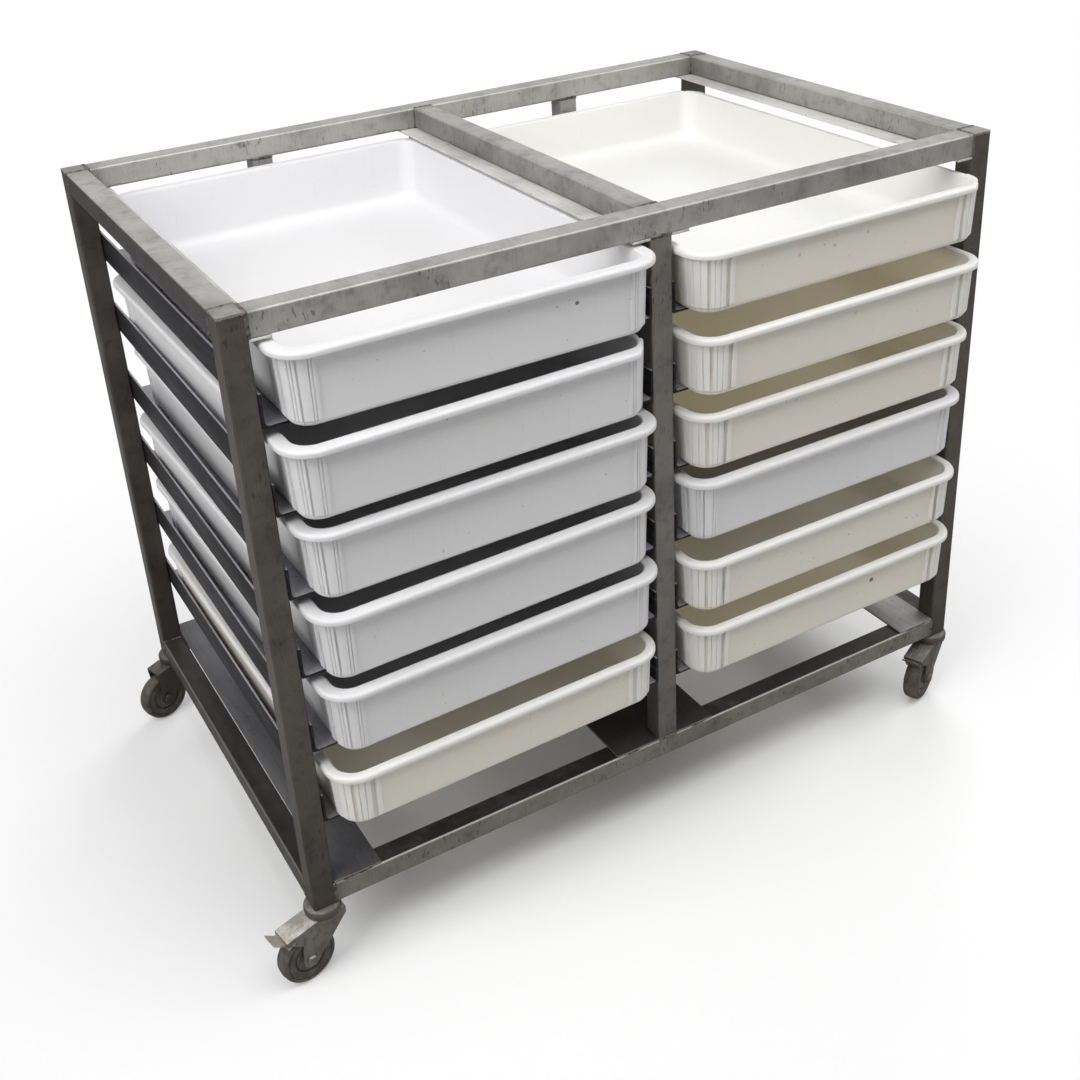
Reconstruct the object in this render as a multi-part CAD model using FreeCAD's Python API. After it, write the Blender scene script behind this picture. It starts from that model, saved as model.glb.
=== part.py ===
"""Tray trolley: a welded square-tube frame on casters with two bays of sliding trays.

Millimetres. X runs across the two bays, Y from front to rear and Z up from the floor.
The origin lies on the floor under the middle of the frame.
"""
import FreeCAD, Part
import math
import os

Vector = FreeCAD.Vector
UP = Vector(0, 0, 1)
ACROSS = Vector(0, 1, 0)

# Frame
frame_depth = 650.0
post_height = 783.0
tube_size = 30.0
tube_wall = 2.0
tube_corner_radius = 3.0
cap_thickness = 3.0

# How far the centre posts and the cross-tube stand to the right of the middle
centre_offset = 4.0

# Plates over the base rails
plate_thickness = 3.0
side_plate_width = 63.0
centre_plate_width = 156.0
plate_notch_gap = 0.2

# Runner angles, stacked on both sides of each bay
runner_count = 6
runner_pitch = 105.0
runner_leg = 40.0
runner_thickness = 3.0
runner_root_radius = 4.0

# Keeper strips over the top trays
keeper_gap = 3.8
keeper_thickness = 3.0
keeper_reach = 24.0
keeper_lap = 15.0

# Trays
tray_width = 462.0
tray_length = 660.0
tray_side_gap = 3.5
tray_seat_gap = 0.2
lip_corner_radius = 40.0
lip_thickness = 8.0
lip_edge_bevel = 2.5
wall_draft = 3.0
foot_bevel = 6.0
floor_thickness = 4.0
rib_depth = 2.5
rib_foot_gap = 6.0
lip_trim_gap = 1.0

# Deep and shallow trays: height, lip width, wall thickness and corner ribs.
# A rib's ends are measured along the wall from where the end wall starts to turn.
deep_height = 90.0
deep_lip_width = 17.5
deep_wall = 4.5
deep_ribs = ((-3.0, 16.0), (18.0, 37.0), (44.0, 53.0))
shallow_height = 78.0
shallow_lip_width = 13.0
shallow_wall = 4.0
shallow_ribs = ((-15.5, -9.5), (-3.0, 16.0), (20.0, 52.0))

# Where each tray stands, from the top down: its kind, its gap to the rear stop
# and how far its front and rear ends lie off the bay's middle, to the right
left_trays = (
    ("deep", 8.0, 1.0, 1.0),
    ("deep", 12.0, -4.5, -17.0),
    ("deep", 5.0, 2.5, -4.5),
    ("deep", 5.0, 2.5, -17.5),
    ("deep", 3.0, 4.0, -11.5),
    ("shallow", 1.5, -1.5, -12.5),
)
right_trays = (
    ("shallow", 9.0, -1.0, -1.0),
    ("shallow", 14.0, -1.0, -1.0),
    ("shallow", 4.0, 0.0, 0.0),
    ("deep", 3.0, -2.0, -2.0),
    ("shallow", 5.0, -1.5, -1.5),
    ("shallow", 1.0, 1.5, 1.5),
)
trimmed_trays = ("tray_left_2", "tray_right_1")

# Casters
caster_height = 105.0
wheel_diameter = 75.0
tyre_width = 22.0
tyre_depth = 18.5
tyre_shoulder = 4.5
tyre_bond_gap = 0.05
rim_width = 19.0
hub_barrel_radius = 9.0
hub_end_gap = 0.3
wheel_side_gap = 1.5
caster_trail = 32.0
axle_radius = 4.0
axle_head_width = 13.0
axle_head_height = 4.0
running_clearance = 0.05

# Swivel head
stem_radius = 6.0
stem_length = 38.0
plug_height = 40.0
plug_gap = 0.1
head_radius = 23.5
head_height = 14.0
head_wall = 2.5
head_plate = 3.0
head_bevel = 1.5
race_radius = 19.5
race_height = 7.0
rivet_radius = 9.0
rivet_height = 3.0
rivet_gap = 0.2

# Fork
fork_sheet = 2.5
fork_head_gap = 1.0
fork_back = 23.0
fork_back_depth = 10.0
fork_slope_start = 22.0
hood_end = 61.0
plain_hood_end = 42.0
hood_drop = 5.5
hood_end_depth = 5.0
leg_throat = 40.0
leg_throat_depth = 24.5
leg_end_radius = 11.0

# Brake pedal of the front casters
pedal_pin_trail = 52.0
pedal_pin_drop = 12.0
pedal_pin_radius = 2.5
pedal_width = 23.0
pedal_reach = 25.0
pedal_thickness = 2.8
pedal_rise = 3.5
pedal_tip_lift = 9.5
brake_gap = 2.5
shoe_start_angle = 50.0
shoe_end_angle = 65.0

# Heading of each caster's trailing side, in degrees from +X
caster_headings = {"front_left": 190.0, "front_right": 203.0, "rear_left": 198.0, "rear_right": 222.0}
braked_casters = ("front_left", "front_right")

# Levels and distances that follow from the sizes above
foot_level = caster_height
top_level = foot_level + post_height
bay_width = tray_width + 2 * (tray_side_gap + runner_thickness)
frame_width = 2 * bay_width + 3 * tube_size
half_width = frame_width / 2
half_depth = frame_depth / 2
post_x = half_width - tube_size / 2
post_y = half_depth - tube_size / 2
inner_x = half_width - tube_size
inner_y = half_depth - tube_size
base_top = foot_level + tube_size
rail_underside = top_level - tube_size
bay_centres = {
    "left": (centre_offset - tube_size / 2 - inner_x) / 2,
    "right": (centre_offset + tube_size / 2 + inner_x) / 2,
}
top_seat = rail_underside - keeper_thickness - keeper_gap - deep_height
top_runner = top_seat - tray_seat_gap - runner_thickness

wheel_radius = wheel_diameter / 2
rim_radius = wheel_radius - tyre_depth
fork_inner_width = tyre_width + 2 * wheel_side_gap
fork_width = fork_inner_width + 2 * fork_sheet
fork_top = foot_level - head_height - fork_head_gap
axle_point = Vector(caster_trail, 0, wheel_radius)
pedal_pin_point = Vector(pedal_pin_trail, 0, fork_top - pedal_pin_drop)


def save(shape, node):
    """Write one node, which may hold several solids."""
    shape.exportStep("parts/" + node + ".step")


def block(low, high):
    """Rectangular solid between two opposite corners."""
    size = high - low
    return Part.makeBox(size.x, size.y, size.z, low)


def rounded_ring(half_x, half_y, radius, level):
    """Closed outline of a rectangle with round corners, at one level."""
    arcs = []
    for turn, (side_x, side_y) in enumerate(((1, 1), (-1, 1), (-1, -1), (1, -1))):
        centre = Vector(side_x * (half_x - radius), side_y * (half_y - radius), level)
        arcs.append(Part.makeCircle(radius, centre, UP, turn * 90, turn * 90 + 90))
    edges = []
    for turn, arc in enumerate(arcs):
        following = arcs[(turn + 1) % len(arcs)]
        edges.append(arc)
        edges.append(Part.makeLine(arc.Vertexes[-1].Point, following.Vertexes[0].Point))
    return Part.Wire(edges)


def revolved(outline):
    """Solid of revolution about Z from (radius, level) points."""
    points = [Vector(radius, 0, level) for radius, level in outline]
    profile = Part.Face(Part.makePolygon(points + points[:1]))
    return profile.revolve(Vector(0, 0, 0), UP, 360)


# Frame tubes

def tube_along_z(length):
    """Hollow square tube, centred on Z and standing on the floor."""
    half = tube_size / 2
    bore = half - tube_wall
    outer = Part.Face(rounded_ring(half, half, tube_corner_radius, 0)).extrude(UP * length)
    return outer.cut(block(Vector(-bore, -bore, 0), Vector(bore, bore, length)))


def upright(x, y, bottom, top):
    tube = tube_along_z(top - bottom)
    tube.translate(Vector(x, y, bottom))
    return tube


def rail_across(y, level):
    """Rail between the corner posts along X, with its underside at the level."""
    tube = tube_along_z(2 * inner_x)
    tube.rotate(Vector(0, 0, 0), Vector(0, 1, 0), 90)
    tube.translate(Vector(-inner_x, y, level + tube_size / 2))
    return tube


def rail_along(x, level):
    """Rail between the front and the rear along Y, with its underside at the level."""
    tube = tube_along_z(2 * inner_y)
    tube.rotate(Vector(0, 0, 0), Vector(1, 0, 0), -90)
    tube.translate(Vector(x, -inner_y, level + tube_size / 2))
    return tube


def post_corners():
    """Name and centre of each corner post."""
    for row, side_y in (("front", -1), ("rear", 1)):
        for side, side_x in (("left", -1), ("right", 1)):
            yield row + "_" + side, Vector(side_x * post_x, side_y * post_y, 0)


def build_posts():
    cap_level = top_level - cap_thickness
    half = tube_size / 2
    caps = []
    for corner, centre in post_corners():
        save(upright(centre.x, centre.y, foot_level, cap_level), "post_" + corner)
        cap = Part.Face(rounded_ring(half, half, tube_corner_radius, cap_level)).extrude(UP * cap_thickness)
        cap.translate(centre)
        caps.append(cap)
    save(Part.makeCompound(caps), "post_caps")
    for row, side_y in (("front", -1), ("rear", 1)):
        save(upright(centre_offset, side_y * post_y, base_top, rail_underside), "post_centre_" + row)
    stops = [upright(x, post_y, base_top, rail_underside) for x in bay_centres.values()]
    save(Part.makeCompound(stops), "rear_stop_bars")


def build_rails():
    for height, level in (("base", foot_level), ("top", rail_underside)):
        save(rail_across(-post_y, level), "rail_" + height + "_front")
        save(rail_across(post_y, level), "rail_" + height + "_rear")
        save(rail_along(-post_x, level), "rail_" + height + "_left")
        save(rail_along(post_x, level), "rail_" + height + "_right")
    save(rail_along(centre_offset, rail_underside), "rail_top_centre")


def build_base_plates():
    """Plates that lie on the front and rear base rails."""
    plate_top = base_top + plate_thickness
    outer_x = inner_x - side_plate_width
    left = block(Vector(-inner_x, -half_depth, base_top), Vector(-outer_x, half_depth, plate_top))
    save(left, "base_plate_left")
    save(left.mirror(Vector(0, 0, 0), Vector(1, 0, 0)), "base_plate_right")
    half_plate = centre_plate_width / 2
    centre = block(Vector(-half_plate, -half_depth, base_top), Vector(half_plate, half_depth, plate_top))
    half_notch = tube_size / 2 + plate_notch_gap
    notch_y = inner_y - plate_notch_gap
    for near, far in ((-half_depth, -notch_y), (notch_y, half_depth)):
        low = Vector(centre_offset - half_notch, near, base_top)
        centre = centre.cut(block(low, Vector(centre_offset + half_notch, far, plate_top)))
    save(centre, "base_plate_centre")


def runner_angle():
    """One angle with its flat leg toward +X and its upright leg against x = 0."""
    root = runner_thickness + runner_root_radius
    centre = Vector(root, 0, root)
    diagonal = runner_root_radius * math.sqrt(0.5)
    edges = [
        Part.makePolygon([
            Vector(runner_thickness, 0, root),
            Vector(runner_thickness, 0, runner_leg),
            Vector(0, 0, runner_leg),
            Vector(0, 0, 0),
            Vector(runner_leg, 0, 0),
            Vector(runner_leg, 0, runner_thickness),
            Vector(root, 0, runner_thickness),
        ]),
        Part.Arc(
            Vector(root, 0, runner_thickness),
            centre - Vector(diagonal, 0, diagonal),
            Vector(runner_thickness, 0, root),
        ).toShape(),
    ]
    angle = Part.Face(Part.Wire(edges)).extrude(Vector(0, frame_depth, 0))
    angle.translate(Vector(0, -half_depth, 0))
    return angle


def build_runners():
    """Six angles on each side of each bay, welded to the posts' inner faces."""
    facing_right = runner_angle()
    facing_left = facing_right.mirror(Vector(0, 0, 0), Vector(1, 0, 0))
    sides = (
        ("runners_left_outer", facing_right, -inner_x),
        ("runners_left_inner", facing_left, centre_offset - tube_size / 2),
        ("runners_right_inner", facing_right, centre_offset + tube_size / 2),
        ("runners_right_outer", facing_left, inner_x),
    )
    for node, angle, x in sides:
        column = []
        for step in range(runner_count):
            column.append(angle.translated(Vector(x, 0, top_runner - step * runner_pitch)))
        save(Part.makeCompound(column), node)


def keeper_strip(rail_face):
    """Strip under a rail: it laps the rail and reaches past its face, at x, toward +X."""
    bottom = rail_underside - keeper_thickness
    lap = block(Vector(rail_face - keeper_lap, -inner_y, bottom), Vector(rail_face, inner_y, rail_underside))
    reach = block(
        Vector(rail_face, -half_depth, bottom),
        Vector(rail_face + keeper_reach, half_depth, rail_underside),
    )
    return lap.fuse(reach).removeSplitter()


def build_keepers():
    strips = []
    for rail_face, middle in ((-inner_x, 0), (tube_size / 2, centre_offset)):
        strip = keeper_strip(rail_face)
        beside = strip.mirror(Vector(0, 0, 0), Vector(1, 0, 0))
        for piece in (strip, beside):
            strips.append(piece.translated(Vector(middle, 0, 0)))
    save(Part.makeCompound(strips), "tray_keepers")


# Trays

def tray_loft(sections):
    """Solid through outlines given as (inset from the lip's outer edge, level)."""
    rings = []
    for inset, level in sections:
        radius = lip_corner_radius - inset
        rings.append(rounded_ring(tray_width / 2 - inset, tray_length / 2 - inset, radius, level))
    return Part.makeLoft(rings, True, True)


def wall_point(distance, inset, offset):
    """Plan point along the right front corner, moved out from a wall drawn in by the inset.

    The distance is measured from where the end wall starts to turn, and is negative on that wall.
    """
    radius = lip_corner_radius - inset
    centre = Vector(tray_width / 2 - lip_corner_radius, -tray_length / 2 + lip_corner_radius, 0)
    arc = radius * math.pi / 2
    turned = min(max(distance, 0), arc) / radius
    outward = Vector(math.sin(turned), -math.cos(turned), 0)
    point = centre + outward * (radius + offset)
    if distance < 0:
        point.x += distance
    if distance > arc:
        point.y += distance - arc
    return point


def rib_sector(start, end, inset, bottom, top):
    """Upright prism that cuts one rib, from inside the wall to well outside it."""
    arc = (lip_corner_radius - inset) * math.pi / 2
    stations = [start] + [turn for turn in (0, arc / 2, arc) if start < turn < end] + [end]
    inside = -rib_depth / 2
    outside = 4 * rib_depth
    near = [wall_point(station, inset, inside) for station in stations]
    far = [wall_point(station, inset, outside) for station in stations]
    outline = far + near[::-1]
    face = Part.Face(Part.makePolygon(outline + outline[:1]))
    face.translate(Vector(0, 0, bottom))
    return face.extrude(UP * (top - bottom))


def corner_ribs(ribs, wall_inset, height):
    """Ribs that stiffen the four corners, from near the foot to under the lip."""
    under_lip = height - lip_thickness
    bottom = rib_foot_gap
    draft_at_rib = wall_draft * (1 - bottom / under_lip)
    raised = tray_loft((
        (wall_inset + draft_at_rib - rib_depth, bottom),
        (wall_inset - rib_depth, under_lip + lip_edge_bevel),
    ))
    pieces = []
    for start, end in ribs:
        sector = rib_sector(start, end, wall_inset, bottom, under_lip + lip_edge_bevel)
        rib = raised.common(sector)
        beside = rib.mirror(Vector(0, 0, 0), Vector(1, 0, 0))
        for piece in (rib, beside):
            pieces.append(piece)
            pieces.append(piece.mirror(Vector(0, 0, 0), Vector(0, 1, 0)))
    return pieces


def build_tray(height, lip_width, wall, ribs):
    """One moulded tray, standing on the floor and centred on Z."""
    wall_inset = lip_width - wall
    under_lip = height - lip_thickness
    body = tray_loft((
        (wall_inset + wall_draft + foot_bevel, 0),
        (wall_inset + wall_draft, foot_bevel),
        (wall_inset, under_lip + lip_edge_bevel),
    ))
    lip = tray_loft((
        (lip_edge_bevel, under_lip),
        (0, under_lip + lip_edge_bevel),
        (0, height - lip_edge_bevel),
        (lip_edge_bevel, height),
    ))
    hollow = tray_loft((
        (lip_width + wall_draft, floor_thickness),
        (lip_width, height),
    ))
    solid = body.multiFuse([lip] + corner_ribs(ribs, wall_inset, height))
    return solid.cut(hollow).removeSplitter()


def trim_right_lip(tray, height, lip_width, wall):
    """Cut the lip's right-hand overhang off, just clear of the ribs."""
    edge = tray_width / 2 - (lip_width - wall) + rib_depth + lip_trim_gap
    low = Vector(edge, -tray_length, height - 2 * lip_thickness)
    return tray.cut(block(low, Vector(tray_width, tray_length, 2 * height)))


def build_trays():
    sizes = {
        "deep": (deep_height, deep_lip_width, deep_wall),
        "shallow": (shallow_height, shallow_lip_width, shallow_wall),
    }
    ribs = {"deep": deep_ribs, "shallow": shallow_ribs}
    whole = {kind: build_tray(*sizes[kind], ribs[kind]) for kind in sizes}
    for bay, trays in (("left", left_trays), ("right", right_trays)):
        for order, (kind, rear_gap, front_shift, rear_shift) in enumerate(trays, start=1):
            node = "tray_" + bay + "_" + str(order)
            tray = whole[kind]
            if node in trimmed_trays:
                tray = trim_right_lip(tray, *sizes[kind])
            skew = math.degrees(math.asin((front_shift - rear_shift) / tray_length))
            place = Vector(
                bay_centres[bay] + (front_shift + rear_shift) / 2,
                inner_y - rear_gap - tray_length / 2,
                top_seat - (order - 1) * runner_pitch,
            )
            save(tray.rotated(Vector(0, 0, 0), UP, skew).translated(place), node)


# Casters, built with the swivel axis on Z and trailing toward +X

def side_polygon(points):
    """Face in the plane of the wheel from (trail, level) points."""
    corners = [Vector(trail, 0, level) for trail, level in points]
    return Part.Face(Part.makePolygon(corners + corners[:1]))


def centred_prism(face, width):
    """Face in the wheel's plane, thickened to both sides."""
    return face.translated(ACROSS * (-width / 2)).extrude(ACROSS * width)


def across_cylinder(radius, width, centre):
    return Part.makeCylinder(radius, width, centre - ACROSS * (width / 2), ACROSS)


def build_stem():
    """Stem, upper race cup and king pin with its riveted end."""
    plate_level = foot_level - head_plate
    rim_level = foot_level - head_height
    rivet_top = fork_top - fork_sheet - rivet_gap
    return revolved((
        (0, foot_level + stem_length),
        (stem_radius, foot_level + stem_length),
        (stem_radius, foot_level),
        (head_radius - head_bevel, foot_level),
        (head_radius, foot_level - head_bevel),
        (head_radius, rim_level),
        (head_radius - head_wall, rim_level),
        (head_radius - head_wall, plate_level),
        (stem_radius, plate_level),
        (stem_radius, rivet_top),
        (rivet_radius, rivet_top),
        (rivet_radius, rivet_top - rivet_height),
        (0, rivet_top - rivet_height),
    ))


def stem_plug():
    """Square plug that fills the post's foot and takes the stem."""
    half = tube_size / 2 - tube_wall - plug_gap
    plug = block(Vector(-half, -half, foot_level), Vector(half, half, foot_level + plug_height))
    bore = Part.makeCylinder(stem_radius + running_clearance, plug_height, Vector(0, 0, foot_level))
    return plug.cut(bore)


def tangent_angle(point, centre, radius, side):
    """Angle on a circle in the wheel's plane where a line from the point touches it."""
    toward = point - centre
    return math.atan2(toward.z, toward.x) + side * math.acos(radius / toward.Length)


def on_circle(centre, radius, angle):
    return centre + Vector(radius * math.cos(angle), 0, radius * math.sin(angle))


def hood_level(trail):
    """Top of the hood, which slopes down from the head."""
    return fork_top - hood_drop * (trail - fork_slope_start) / (hood_end - fork_slope_start)


def fork_outline(end):
    """Side view of the fork: flat head, sloping hood and legs that round off at the axle."""
    hood_top = hood_level(end)
    throat = Vector(leg_throat, 0, fork_top - leg_throat_depth)
    back = Vector(-fork_back, 0, fork_top - fork_back_depth)
    front_touch = tangent_angle(throat, axle_point, leg_end_radius, -1)
    back_touch = tangent_angle(back, axle_point, leg_end_radius, 1) - 2 * math.pi
    leg_end = Part.Arc(
        on_circle(axle_point, leg_end_radius, front_touch),
        on_circle(axle_point, leg_end_radius, (front_touch + back_touch) / 2),
        on_circle(axle_point, leg_end_radius, back_touch),
    ).toShape()
    edge = Part.makePolygon([
        leg_end.Vertexes[-1].Point,
        back,
        Vector(-fork_back, 0, fork_top),
        Vector(fork_slope_start, 0, fork_top),
        Vector(end, 0, hood_top),
        Vector(end, 0, hood_top - hood_end_depth),
        throat,
        leg_end.Vertexes[0].Point,
    ])
    return Part.Face(Part.Wire([leg_end, edge]))


def build_fork(braked):
    """Pressed fork with the lower race on its head."""
    hollow_end = hood_end + fork_sheet
    under_head = fork_top - fork_sheet
    under_hood = hood_level(hollow_end) - fork_sheet
    hollow = centred_prism(side_polygon((
        (-fork_back - fork_sheet, under_head),
        (fork_slope_start, under_head),
        (hollow_end, under_hood),
        (hollow_end, 0),
        (-fork_back - fork_sheet, 0),
    )), fork_inner_width)
    race = Part.makeCylinder(race_radius, fork_sheet + race_height, Vector(0, 0, under_head))
    outline = fork_outline(hood_end if braked else plain_hood_end)
    fork = centred_prism(outline, fork_width).cut(hollow).fuse(race)
    bore = Part.makeCylinder(stem_radius + running_clearance, caster_height)
    holes = [bore, across_cylinder(axle_radius + running_clearance, 2 * fork_width, axle_point)]
    if braked:
        holes.append(across_cylinder(pedal_pin_radius + running_clearance, 2 * fork_width, pedal_pin_point))
    return fork.cut(Part.makeCompound(holes)).removeSplitter()


def build_axle():
    """Axle bolt with a hexagon head and nut against the legs."""
    shank = across_cylinder(axle_radius, fork_width, axle_point)
    corner_radius = axle_head_width / math.sqrt(3)
    corners = [on_circle(axle_point, corner_radius, math.radians(60 * turn)) for turn in range(7)]
    hexagon = Part.Face(Part.makePolygon(corners))
    head = hexagon.translated(ACROSS * (fork_width / 2)).extrude(ACROSS * axle_head_height)
    nut = hexagon.translated(ACROSS * (-fork_width / 2)).extrude(ACROSS * -axle_head_height)
    return shank.multiFuse([head, nut]).removeSplitter()


def onto_axle(shape):
    """Turn a solid made about Z onto the wheel's axle."""
    shape.rotate(Vector(0, 0, 0), Vector(1, 0, 0), 90)
    shape.translate(axle_point)
    return shape


def build_hub():
    """Hub disc with a barrel on the axle."""
    barrel = fork_inner_width / 2 - hub_end_gap
    side = (
        (axle_radius + running_clearance, barrel),
        (hub_barrel_radius, barrel),
        (hub_barrel_radius, rim_width / 2),
        (rim_radius, rim_width / 2),
    )
    other_side = tuple((radius, -level) for radius, level in side[::-1])
    return onto_axle(revolved(side + other_side))


def build_tyre():
    """Solid rubber tyre with rounded shoulders, bonded on the rim."""
    half = tyre_width / 2
    seat = rim_radius + tyre_bond_gap
    diagonal = tyre_shoulder * math.sqrt(0.5)
    side = (
        (seat, half),
        (wheel_radius - tyre_shoulder, half),
        (wheel_radius - tyre_shoulder + diagonal, half - tyre_shoulder + diagonal),
        (wheel_radius, half - tyre_shoulder),
    )
    other_side = tuple((radius, -level) for radius, level in side[::-1])
    return onto_axle(revolved(side + other_side))


def build_pedal():
    """Toe pedal with its brake shoe under it and its pin through it."""
    pin = pedal_pin_point
    shoe_radius = wheel_radius + brake_gap
    shoe_angles = (shoe_start_angle, (shoe_start_angle + shoe_end_angle) / 2, shoe_end_angle)
    shoe = [on_circle(axle_point, shoe_radius, math.radians(angle)) for angle in shoe_angles]
    tip = Vector(pin.x + pedal_reach, 0, pin.z + pedal_rise + pedal_tip_lift)
    heel = Vector(2 * shoe[-1].x - pin.x, 0, pin.z + pedal_rise)
    under_tip = tip - UP * pedal_thickness
    under_bend = Vector((pin.x + tip.x) / 2, 0, pin.z + pedal_rise - pedal_thickness)
    edge = Part.makePolygon([
        shoe[-1],
        heel,
        Vector(under_bend.x, 0, pin.z + pedal_rise),
        tip,
        under_tip,
        under_bend,
        shoe[0],
    ])
    face = Part.Face(Part.Wire([edge, Part.Arc(*shoe).toShape()]))
    lever = centred_prism(face, pedal_width)
    return lever.fuse(across_cylinder(pedal_pin_radius, fork_width, pin)).removeSplitter()


def build_casters():
    pieces = {
        "stem": build_stem(),
        "axle": build_axle(),
        "hub": build_hub(),
        "tyre": build_tyre(),
    }
    forks = {braked: build_fork(braked) for braked in (False, True)}
    pedal = build_pedal()
    plug = stem_plug()
    plugs = []
    for corner, centre in post_corners():
        plugs.append(plug.translated(centre))
        braked = corner in braked_casters
        caster = dict(pieces, fork=forks[braked])
        if braked:
            caster["pedal"] = pedal
        for name, piece in caster.items():
            turned = piece.rotated(Vector(0, 0, 0), UP, caster_headings[corner])
            save(turned.translated(centre), "caster_" + corner + "_" + name)
    save(Part.makeCompound(plugs), "stem_plugs")


os.makedirs("parts", exist_ok=True)
build_posts()
build_rails()
build_base_plates()
build_runners()
build_keepers()
build_trays()
build_casters()
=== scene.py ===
"""Looks of the tray trolley, laid out as an add-on around the packed CAD frame. Lengths are metres."""
import math
from typing import NamedTuple

import bmesh
import bpy
import numpy as np
from bpy.props import FloatProperty, FloatVectorProperty, PointerProperty
from mathutils import Matrix, Vector, noise


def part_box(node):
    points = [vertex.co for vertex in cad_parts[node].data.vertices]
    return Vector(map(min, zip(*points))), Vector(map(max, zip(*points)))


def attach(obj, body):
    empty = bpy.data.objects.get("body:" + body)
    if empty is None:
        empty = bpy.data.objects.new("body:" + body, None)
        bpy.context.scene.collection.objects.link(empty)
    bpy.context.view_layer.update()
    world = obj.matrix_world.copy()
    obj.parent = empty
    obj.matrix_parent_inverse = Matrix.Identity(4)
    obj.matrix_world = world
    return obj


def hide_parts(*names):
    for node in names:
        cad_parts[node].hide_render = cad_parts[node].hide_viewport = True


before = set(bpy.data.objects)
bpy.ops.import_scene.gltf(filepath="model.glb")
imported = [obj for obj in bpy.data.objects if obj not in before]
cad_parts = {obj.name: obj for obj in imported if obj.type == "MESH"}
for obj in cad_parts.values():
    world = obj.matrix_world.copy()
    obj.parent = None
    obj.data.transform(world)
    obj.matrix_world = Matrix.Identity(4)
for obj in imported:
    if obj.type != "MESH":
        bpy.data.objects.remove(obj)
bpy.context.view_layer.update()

bl_info = {
    "name": "Tray trolley",
    "version": (1, 0, 0),
    "blender": (4, 5, 0),
    "location": "3D View > Sidebar > Trolley",
    "description": "Welded steel trolley on casters with two bays of sliding plastic trays",
    "category": "Add Mesh",
}

MM = 0.001
CORNERS = ("front_left", "front_right", "rear_left", "rear_right")
BRAKED_CORNERS = ("front_left", "front_right")
BAYS = ("left", "right")
TRAYS_IN_BAY = 6


# Settings

def colour(description, default):
    return FloatVectorProperty(
        description=description, default=default, size=3, min=0.0, max=1.0, subtype="COLOR"
    )


def length(description, millimetres):
    return FloatProperty(
        description=description, default=millimetres * MM, min=0.0, precision=4, unit="LENGTH"
    )


def amount(description, default):
    return FloatProperty(description=description, default=default, min=0.0)


class SteelSettings(bpy.types.PropertyGroup):
    """Frame tubes, runners, plates and welds."""

    rail_tone: colour("Ground steel of the front and right-hand top rails", (0.42, 0.410, 0.392))
    cross_tone: colour("Ground steel of the cross-tube and the post caps", (0.36, 0.352, 0.336))
    rear_tone: colour("Brighter steel of the rear rail", (0.47, 0.46, 0.44))
    # Painted shade: the left-hand rails' sides get this near-black tone, while their upper faces take the
    # top tone.
    left_rails_shaded_side_tone: colour("Duller outer sides of the left-hand rails", (0.080, 0.076, 0.070))
    base_tone: colour("Ground steel of the base rails' sides", (0.250, 0.235, 0.213))
    # Painted shade: the base rails' upper faces and the centre plate, which lie under the trays, get this
    # dark tone.
    shaded_base_top_tone: colour("Grimy upper faces of the base rails and the centre plate", (0.066, 0.063, 0.062))
    # Painted light from above: upper faces of the top rails take this tone, far lighter than the left-hand
    # rails' sides; it also colours the bright smears and the painted highlight on the top edges.
    top_tone: colour("Steel rubbed bright on the top rails' upper faces", (0.40, 0.39, 0.375))
    post_tone: colour("Dark mill steel of the corner posts", (0.130, 0.115, 0.102))
    centre_post_tone: colour("Paler mill steel of the centre posts", (0.250, 0.235, 0.218))
    # Painted shade: the runners' upright legs are made near black, as they stand in shade between the trays.
    runner_shaded_leg_tone: colour("Rolled steel of the runners' upright legs", (0.018, 0.017, 0.021))
    # Painted light: the runners' upper faces are made pale, far lighter than their legs.
    runner_lit_top_tone: colour("Rubbed upper faces of the runners", (0.42, 0.41, 0.45))
    # The base plates are one sheet given three upper-face tones: the centre plate takes the painted shade of
    # the base rails' tops, and the right plate's bright tone is a painted reflection.
    left_plate_tone: colour("Bluish upper face of the left base plate", (0.150, 0.147, 0.160))
    right_plate_reflection_tone: colour("Shiny upper face of the right base plate", (0.40, 0.395, 0.39))
    keeper_tone: colour("Pale strips that keep the top trays down", (0.70, 0.695, 0.675))
    heat_tone: colour("Brown tint of the steel beside a weld", (0.050, 0.038, 0.028))
    nick_tone: colour("Dark scratches in the ground steel", (0.022, 0.019, 0.016))
    weld_tone: colour("Bare weld metal", (0.16, 0.15, 0.135))
    weld_width: length("Width of a bead across the joint", 4.4)
    weld_height: length("How far a bead stands out of the joint", 0.9)
    ripple_pitch: length("Distance between the ripples of a bead", 2.2)
    sheet_edge: length("Rounding of sheared edges", 0.5)


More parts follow.
